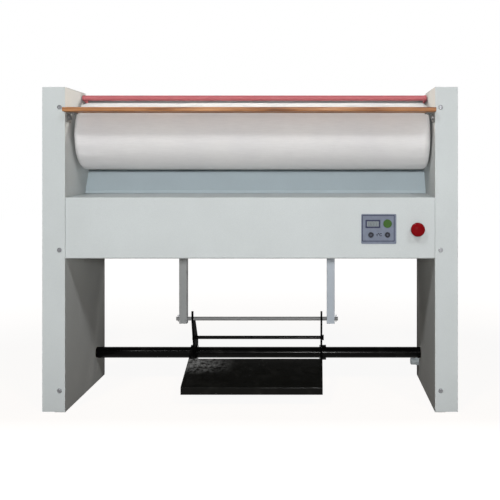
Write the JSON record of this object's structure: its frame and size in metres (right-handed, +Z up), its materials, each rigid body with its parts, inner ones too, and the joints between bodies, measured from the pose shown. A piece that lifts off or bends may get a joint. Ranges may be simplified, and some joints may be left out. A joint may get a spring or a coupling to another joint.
{
  "type": "flatwork ironer",
  "caption": "Free-standing flatwork ironer: padded roller between two columns, hinged heated shoe behind it, foot pedal, feed rail, guard bar and control panel.",
  "frame": {"origin": "on the floor, in the middle of the machine's width and of its whole depth", "axes": "+X to the operator's right along the roller, +Y from the operator to the back, +Z up"},
  "size_m": [1.185, 0.449, 0.928],
  "materials": {
    "grey_paint": "satin powder coat",
    "zinc": "zinc plated",
    "steel": "machined",
    "wood": "oiled",
    "cotton": "woven",
    "felt": "felt",
    "mineral_wool": "mineral wool",
    "shoe_metal": "polished",
    "red_paint": "gloss",
    "black_paint": "gloss",
    "bar_paint": "satin",
    "rod_steel": "drawn",
    "keypad": "satin film",
    "window": "gloss",
    "green_plastic": "gloss",
    "black_plastic": "gloss",
    "red_plastic": "gloss",
    "light_plastic": "matt",
    "board": "lacquered",
    "nylon": "matt",
    "rubber": "matt",
    "cast_grey": "painted"
  },
  "bodies": {
    "frame": {"side_frame_left": "grey_paint", "side_frame_right": "grey_paint", "side_cover_left": "grey_paint", "side_cover_right": "grey_paint", "cover_screws": "zinc", "beam_front": "grey_paint", "beam_tray": "grey_paint", "beam_bolts": "zinc", "delivery_chute": "grey_paint", "rear_cover": "grey_paint", "rear_cover_screws": "zinc", "feed_rail": "wood", "rail_brackets": "zinc", "rail_screws": "zinc", "roller_bearings": "cast_grey", "bearing_bolts": "zinc", "pivot_shaft": "steel", "pivot_bolts": "zinc", "pivot_bushes": "nylon", "guard_switch": "black_plastic", "gearbox": "cast_grey", "motor": "cast_grey", "drive_belt": "rubber", "control_panel": "keypad", "display_window": "window", "control_board": "board", "estop_collar": "black_plastic", "estop_contact_block": "black_plastic", "contactor": "black_plastic", "cable_gland": "light_plastic", "spring_anchors": "zinc", "pressure_spring_left": "steel", "pressure_spring_right": "steel"},
    "roller": {"roller_drum": "steel", "roller_ends": "steel", "roller_padding": "felt", "roller_cover": "cotton", "roller_pulley": "steel"},
    "drive_output": {"drive_pulley": "steel"},
    "shoe": {"heated_shoe": "shoe_metal", "heating_elements": "steel", "shoe_insulation": "mineral_wool", "shoe_shield": "zinc", "press_bar_left": "bar_paint", "press_bar_right": "bar_paint", "press_rod": "rod_steel", "cotter_pins": "zinc"},
    "pedal": {"pedal_tube": "black_paint", "pedal_lever_left": "black_paint", "pedal_lever_right": "black_paint", "pedal_collars": "black_paint", "cross_rod": "black_paint", "pedal_plate": "black_paint", "spring_arms": "black_paint"},
    "guard": {"guard_bar": "red_paint"},
    "start_button": {"start_button": "green_plastic"},
    "plus_button": {"plus_button": "black_plastic"},
    "minus_button": {"minus_button": "black_plastic"},
    "estop_plunger": {"estop_plunger": "black_plastic"},
    "estop_head": {"estop_head": "red_plastic"}
  },
  "joints": [
    {"name": "roller_spin", "type": "hinge", "parent": "frame", "child": "roller", "pos_m": [0, -0.0535, 0.793], "axis": [1, 0, 0], "continuous": true},
    {"name": "drive_pulley_spin", "type": "hinge", "parent": "frame", "child": "drive_output", "pos_m": [0, -0.0055, 0.56], "axis": [1, 0, 0], "continuous": true},
    {"name": "pedal_press", "type": "hinge", "parent": "frame", "child": "pedal", "pos_m": [0, 0.1315, 0.0962], "axis": [1, 0, 0], "range_deg": [0, 7], "stiffness_Nm_per_rad": 60, "springref_deg": -11.46, "deforming": ["pressure_spring_left", "pressure_spring_right"]},
    {"name": "shoe_swing", "type": "hinge", "parent": "frame", "child": "shoe", "pos_m": [0, 0.0682, 0.54], "axis": [-1, 0, 0], "range_deg": [0, 2.7]},
    {"name": "guard_lift", "type": "hinge", "parent": "frame", "child": "guard", "pos_m": [0, -0.0035, 0.905], "axis": [-1, 0, 0], "range_deg": [0, 15]},
    {"name": "start_press", "type": "slide", "parent": "frame", "child": "start_button", "axis": [0, 1, 0], "range_m": [0, 0.001], "stiffness_N_per_m": 1500, "springref_m": -0.0005},
    {"name": "plus_press", "type": "slide", "parent": "frame", "child": "plus_button", "axis": [0, 1, 0], "range_m": [0, 0.001], "stiffness_N_per_m": 1200, "springref_m": -0.0005},
    {"name": "minus_press", "type": "slide", "parent": "frame", "child": "minus_button", "axis": [0, 1, 0], "range_m": [0, 0.001], "stiffness_N_per_m": 1200, "springref_m": -0.0005},
    {"name": "estop_push", "type": "slide", "parent": "frame", "child": "estop_plunger", "axis": [0, 1, 0], "range_m": [0, 0.004], "stiffness_N_per_m": 2500, "springref_m": -0.001},
    {"name": "estop_twist", "type": "hinge", "parent": "estop_plunger", "child": "estop_head", "pos_m": [0.4764, -0.2045, 0.5224], "axis": [0, 1, 0], "range_deg": [0, 30], "stiffness_Nm_per_rad": 0.3, "springref_deg": -2.86}
  ],
  "couplings": [
    {"joint": "drive_pulley_spin", "follows": "roller_spin", "ratio": 2.4},
    {"joint": "shoe_swing", "follows": "pedal_press", "ratio": 0.376}
  ]
}
